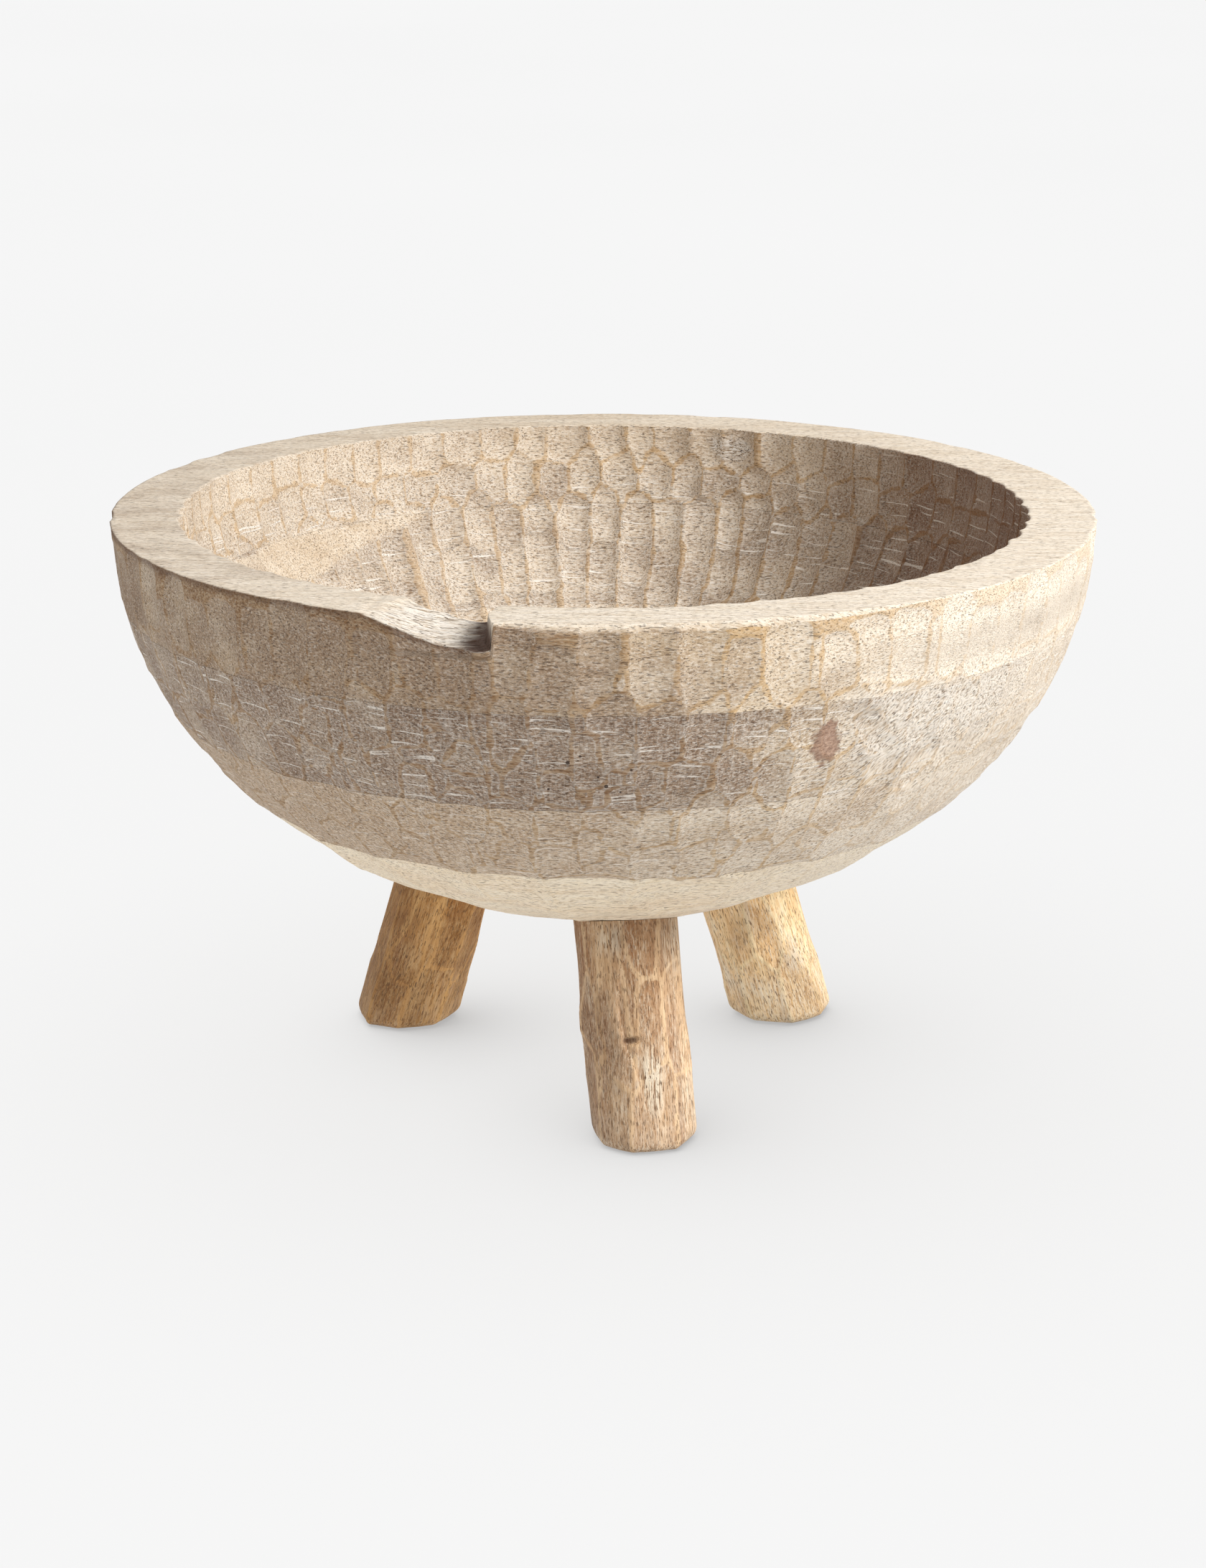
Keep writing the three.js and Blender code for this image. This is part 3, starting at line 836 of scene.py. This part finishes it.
class LimedWood(Shader):
    """Carved wood with the remains of a lime wash."""

    def __init__(self, name, palette, shift):
        super().__init__(name)
        self.palette = palette
        self.shift = shift
        self.wood = self.attribute("wood", "Vector")
        self.stroke = self.attribute("stroke", "Vector")
        self.torn = self.attribute("torn")
        self.fibres = self.grain((11, 0.9, 0.9), 3, 0.6, 3)
        self.fine = self.grain((1.3, 0.7, 0.7), 4, 0.8, 5)
        wide = self.grain((7, 5, 5), 3, 0.65, 9)
        self.edge = self.math("SUBTRACT", self.attribute("edge"), self.ramp(wide, 0.35, 0.75, -0.25, 0.8))
        self.hollow = self.ramp(self.edge, 0.3, 1.05)

    def grain(self, size, detail, roughness, shift):
        """Noise in the wood's own frame, with the grain along its first axis."""
        return self.noise(self.wood, size, detail, roughness, self.shift + shift)

    def product(self, first, *others):
        for other in others:
            first = self.math("MULTIPLY", first, other)
        return first

    def bare(self):
        """Clean or weather-worn wood in the hollows, and the honey colour of the ridges between them."""
        p = self.palette
        bands = self.grain((95, 13, 13), 3, 0.55, 0)
        patches = self.grain((26, 15, 15), 3, 0.6, 7)
        each_stroke = self.noise(self.stroke, (1e4, 1e4, 1.5), 1, 0.5, self.shift)
        clean = self.mix(self.ramp(bands, 0.3, 0.7), p.light, p.deep)
        clean = self.mix(self.ramp(self.fibres, 0.5, 0.72, 0, 0.6), clean, p.deep)
        cream = self.mix(self.ramp(self.fibres, 0.35, 0.7), CREAM, p.light)
        clean = self.mix(self.attribute("pale"), clean, cream)
        grey = self.math("ADD", self.attribute("grey"), self.ramp(patches, 0.25, 0.75, -0.2, 0.2))
        grey = self.math("ADD", grey, self.ramp(each_stroke, 0.25, 0.75, -0.22, 0.22))
        grey = self.ramp(grey, 0.0, 1.0)
        grey_tone = self.mix(self.ramp(self.fine, 0.3, 0.7), p.grey_dark, p.grey_light)
        hollows = self.mix(grey, clean, grey_tone)
        ridges = self.mix(grey, p.ridge_clean, p.ridge_grey)
        ridges = self.mix(self.ramp(self.fibres, 0.35, 0.7, 0, 0.5), ridges, clean)
        ridges = self.mix(self.attribute("honey"), clean, ridges)
        return self.mix(self.hollow, ridges, hollows)

    def speckled(self, colour, speckle):
        """Dark and limed specks where the wood is rough, and grain lines where it is smooth."""
        grain = self.grain((16, 0.75, 0.75), 3, 0.6, 19)
        limed = self.ramp(self.attribute("lime"), 0.15, 0.6, 0.4, 1.0)
        clean = self.ramp(self.attribute("grey"), 0.3, 1.0, 1.0, 0.66)
        rough = self.product(self.ramp(self.hollow, 0, 1, 0.45, 1.0), limed, clean)
        darker = self.product(self.ramp(speckle, 0.5, 0.65, 0, 0.8), rough)
        lighter = self.product(self.ramp(speckle, 0.48, 0.34, 0, 0.5), rough)
        grain_lines = self.product(self.ramp(grain, 0.5, 0.66, 0, 0.6), self.ramp(rough, 0, 1, 1.0, 0.35))
        colour = self.darkened(darker, colour, SPECKLE)
        colour = self.mix(lighter, colour, self.palette.lime)
        return self.darkened(grain_lines, colour, SPECKLE)

    def outlined(self, colour):
        """A faint light line round each hollow."""
        strength = self.ramp(self.attribute("chatter"), 0, 1, 0.0, 0.16)
        outline = self.product(self.ramp(self.edge, 0.5, 0.9), self.ramp(self.edge, 1.5, 1.0), strength)
        return self.mix(outline, colour, self.palette.lime)

    def splintered(self, colour, splinters):
        """Torn grain: limed splinters with dark wood between them."""
        raised = self.product(self.torn, self.ramp(splinters, 0.42, 0.54, 0.0, 0.95))
        sunk = self.product(self.torn, self.ramp(splinters, 0.46, 0.38, 0.0, 0.7))
        return self.mix(sunk, self.mix(raised, colour, self.palette.lime), self.palette.grey_dark)

    def lime_lines(self):
        """How much lime is left in the gouge's chatter marks, in fine nicks along its path and in specks."""
        # Less lime shows under the painted shade and the dark marks.
        unshaded = self.ramp(self.attribute("brown"), 0, 1, 1.0, 0.5)
        undarkened = self.ramp(self.attribute("dark"), 0, 1, 1.0, 0.3)
        limed = self.product(self.hollow, self.attribute("lime"), unshaded, undarkened)
        chatter = self.noise(self.stroke, (22, 1.1, 0.7), 2, 0.4, self.shift + 1)
        chatter = self.product(self.ramp(chatter, 0.625, 0.67), self.attribute("chatter"))
        nicks = self.ramp(self.noise(self.stroke, (0.6, 9, 1), 2, 0.5, self.shift), 0.5, 0.7, 0, 0.28)
        specks = self.ramp(self.grain((1.4, 0.6, 0.6), 3, 0.8, 11), 0.48, 0.66, 0, 0.65)
        return self.product(self.math("MAXIMUM", chatter, self.math("MAXIMUM", nicks, specks)), limed)


def limed_wood(name, palette, shift, speckle_length, marks=None):
    """Limed wood's material. Marks is a function that draws marks of its own on the colour."""
    s = LimedWood(name, palette, shift)
    speckle = s.grain((speckle_length, 0.7, 0.7), 2, 0.6, 15)
    splinters = s.grain((9, 0.8, 0.8), 3, 0.65, 17)
    pores = s.ramp(s.grain((2.6, 0.45, 0.45), 1, 0.5, 13), 0.6, 0.7)
    lines = s.lime_lines()
    colour = s.outlined(s.speckled(s.bare(), speckle))
    colour = s.splintered(colour, splinters)
    # Painted shade on the inside's right.
    colour = s.mix(s.attribute("brown"), colour, PAINTED_SHADE_COLOUR)
    # Dark marks: real stains, and painted shade and shadow where the dark look is set.
    colour = s.mix(s.attribute("dark"), colour, palette.mark)
    colour = s.mix(s.math("MULTIPLY", lines, 0.8), colour, palette.lime)
    open_pores = s.math("ADD", s.ramp(s.attribute("pale"), 0, 1, 0.65, 0.55), s.product(s.torn, 0.5))
    colour = s.mix(s.product(pores, open_pores), colour, palette.pore)
    if marks:
        colour = marks(s, colour)
    relief = ((s.fibres, 0.6), (pores, -0.8), (s.fine, 0.5), (s.product(splinters, s.torn), 3.0),
              (speckle, -0.7), (lines, 0.35))
    height = 0.0
    for value, weight in relief:
        height = s.math("ADD", height, s.product(value, weight))
    bump = s.node("ShaderNodeBump", {"Height": height, "Strength": 0.8, "Distance": 0.0005})
    s.feed(s.surface.inputs["Base Color"], colour)
    s.feed(s.surface.inputs["Normal"], bump)
    s.feed(s.surface.inputs["Roughness"], s.ramp(s.fine, 0.3, 0.7, 0.62, 0.85))
    s.surface.inputs["Specular IOR Level"].default_value = 0.25
    return s.material


def on_wall(azimuth, drop, inset):
    """A place on the bowl's outside, at a drop below the rim, with its radius cut to a share."""
    return polar(OUTER_RADIUS * inset, np.array(math.radians(azimuth)), RIM_Z - drop).tolist()


def upper_board_marks(s, colour):
    """The knot beside the torn grain, and wormholes near the front's centre."""
    azimuth, drop, size = KNOT
    warp = s.noise(s.wood, (3, 3, 3), 2)
    distance = s.distance(s.wood, on_wall(azimuth, drop, 0.95), size)
    distance = s.math("ADD", distance, s.ramp(warp, 0.3, 0.7, -0.2, 0.2))
    mottle = s.noise(s.wood, (1.4, 1.4, 0.9), 3, 0.6)
    knot = s.mix(s.ramp(mottle, 0.3, 0.7), rgb(148, 112, 92), rgb(192, 158, 136))
    knot = s.mix(s.ramp(distance, 0.5, 0.95, 0, 0.5), knot, rgb(124, 90, 70))
    colour = s.mix(s.ramp(distance, 1.2, 0.8, 0, 0.9), colour, knot)
    for azimuth, drop, radius in WORMHOLES:
        distance = s.distance(s.wood, on_wall(azimuth, drop, 0.93), (radius, 25, radius))
        colour = s.mix(s.ramp(distance, 1.15, 0.8, 0, 0.9), colour, rgb(58, 40, 30))
    return colour


def dowel_wood():
    """Plain turned wood for the dowels, with fine grain along the pin."""
    s = Shader("dowel_wood")
    place = s.node("ShaderNodeTexCoord", {}, "Object")
    grain = s.noise(place, (0.0012, 0.0012, 0.012), 3, 0.6)
    colour = s.mix(s.ramp(grain, 0.3, 0.7), rgb(214, 184, 140), rgb(178, 140, 98))
    s.feed(s.surface.inputs["Base Color"], colour)
    s.feed(s.surface.inputs["Roughness"], s.ramp(grain, 0.3, 0.7, 0.55, 0.75))
    s.feed(s.surface.inputs["Normal"], s.node("ShaderNodeBump", {"Height": grain, "Distance": 0.0002}))
    return s.material


def floor_paint():
    """A pale studio floor that glows a little, so that shadows on it stay soft."""
    s = Shader("floor_paint")
    place = s.node("ShaderNodeTexCoord", {}, "Object")
    cloud = s.noise(place, (1.5, 1.5, 1.5), 2)
    s.feed(s.surface.inputs["Base Color"], s.mix(cloud, rgb(88, 88, 88), rgb(91, 91, 91)))
    s.feed(s.surface.inputs["Roughness"], 1.0)
    s.surface.inputs["Specular IOR Level"].default_value = 0.0
    s.surface.inputs["Emission Color"].default_value = (1, 1, 1, 1)
    s.surface.inputs["Emission Strength"].default_value = FLOOR_GLOW
    return s.material


# ---------------------------------------------------------------- put together

def bowl_wood(points):
    """Each point's place in the boards. The grain follows the notch's ramp, and rises beside the knot."""
    x, y, z = points.T
    ramp = notch_cut(points) * smooth_step(RIM_Z - 13, RIM_Z - 11, z)
    drop = RIM_Z - z
    beside = smooth_step(0, -60, y) * smooth_step(10, 26, drop) * smooth_step(76, 56, drop)
    rise = np.interp(x, (62, 82, 104, 128, 178), (0, 5, 19, 30, 34)) * beside * (np.hypot(x, y) > 150)
    return np.stack([x, y, z + ramp - rise], axis=-1)


for board, slot, grids in (
    ("rim_board", "rim_board_wood", rim_board_grid()),
    ("upper_wall_board", "upper_wall_wood", wall_board_grid("upper_wall_board", 36, 38)),
    ("lower_wall_board", "lower_wall_wood", wall_board_grid("lower_wall_board", 42, 50)),
    ("base_board", "base_board_wood", base_board_grid()),
):
    shift = 10.0 * BOARDS.index(board)
    marks = upper_board_marks if board == "upper_wall_board" else None
    material = limed_wood(f"limed_{board}", BOARD_PALETTES[board], shift, BOARD_SPECKLE_LENGTH, marks)
    piece = mesh_from(f"carved_{board}", grids, board != "base_board", bowl_wood)
    finished(piece, material, board)

# What sets a leg apart: how far it drifts off its axis on the way up, its chips, how torn its grain is, a
# patch where it is torn most, and how much painted shade darkens its left side
Leg = namedtuple("Leg", "drift chips torn torn_spot left_stain")
LEGS = {
    "front": Leg(-2.3, front_chips, -0.25, front_torn_spot, 0.1),
    "rear_left": Leg(0.0, nothing, -0.6, nothing, 0.42),
    "rear_right": Leg(0.0, nothing, -0.35, nothing, -0.1),
}

for number, (name, foot) in enumerate(leg_feet().items()):
    def leg_wood(points):
        """Each point's place in its leg, with the grain along the leg. Each leg is cut from other wood."""
        return (points - foot) @ np.stack(leg_frame(foot), axis=-1) + 200.0 * number

    material = limed_wood(f"hewn_{name}_wood", LEG_PALETTES[name], 50.0 + number, LEG_SPECKLE_LENGTH)
    grids = leg_grid(foot, LEGS[name], gouge_rows(rng, LEG_STROKES), SEED + 100 * number)
    finished(mesh_from(f"hewn_{name}_leg", grids, False, leg_wood), material, f"{name}_leg")

pin_wood = dowel_wood()
for leg in leg_feet():
    node = frame["nodes"][f"{leg}_dowel"]
    for slot_index in range(len(node.material_slots)):
        node.material_slots[slot_index].material = pin_wood


def make_floor():
    mesh = bpy.data.meshes.new("floor")
    turns = [2 * math.pi * k / FLOOR_SIDES for k in range(FLOOR_SIDES)]
    ring = [(FLOOR_RADIUS * math.cos(turn), FLOOR_RADIUS * math.sin(turn), FLOOR_Z) for turn in turns]
    mesh.from_pydata(ring, [], [list(range(FLOOR_SIDES))])
    floor = bpy.data.objects.new("floor", mesh)
    bpy.context.collection.objects.link(floor)
    mesh.materials.append(floor_paint())
    floor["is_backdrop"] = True
    return floor


def make_camera():
    data = bpy.data.cameras.new("camera")
    data.lens = CAMERA_LENS
    camera = bpy.data.objects.new("camera", data)
    camera.location = Vector(CAMERA_PLACE) * MM
    camera.rotation_euler = (math.pi / 2 - CAMERA_TILT, 0, 0)
    bpy.context.collection.objects.link(camera)
    bpy.context.scene.camera = camera


def studio_light(name, kind, direction, power, **settings):
    data = bpy.data.lights.new(name, kind)
    data.energy = power
    for key, value in settings.items():
        setattr(data, key, value)
    light = bpy.data.objects.new(name, data)
    light.rotation_euler = Vector(direction).to_track_quat("-Z", "Y").to_euler()
    bpy.context.collection.objects.link(light)
    return light


def light_only(light, thing, state):
    """The light falls on the thing alone, with state INCLUDE, or on all but the thing, with EXCLUDE."""
    linked = bpy.data.collections.new(f"{light.name}_linking")
    linked.objects.link(thing)
    linked.collection_objects[0].light_linking.link_state = state
    light.light_linking.receiver_collection = linked


def shadow_only(light, things):
    """Only these things cast a shadow in the light."""
    blockers = bpy.data.collections.new(f"{light.name}_blockers")
    for thing in things:
        blockers.objects.link(thing)
    light.light_linking.blocker_collection = blockers


def make_sky():
    world = bpy.data.worlds.new("studio")
    world.use_nodes = True
    background = world.node_tree.nodes["Background"]
    background.inputs["Color"].default_value = (1, 1, 1, 1)
    background.inputs["Strength"].default_value = SKY_STRENGTH
    bpy.context.scene.world = world


floor = make_floor()
make_camera()
make_sky()
key_direction = Vector(KEY_TARGET) - Vector(KEY_PLACE)
key = studio_light("key", "AREA", key_direction, KEY_POWER, shape="DISK", size=KEY_SIZE)
key.location = KEY_PLACE
light_only(key, floor, "EXCLUDE")
overhead = studio_light("overhead", "SUN", OVERHEAD_DIRECTION, OVERHEAD_STRENGTH, angle=OVERHEAD_ANGLE)
light_only(overhead, floor, "INCLUDE")
shadow_only(overhead, [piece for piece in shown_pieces() if "leg" in piece.name])
bpy.context.scene.view_settings.view_transform = "Standard"
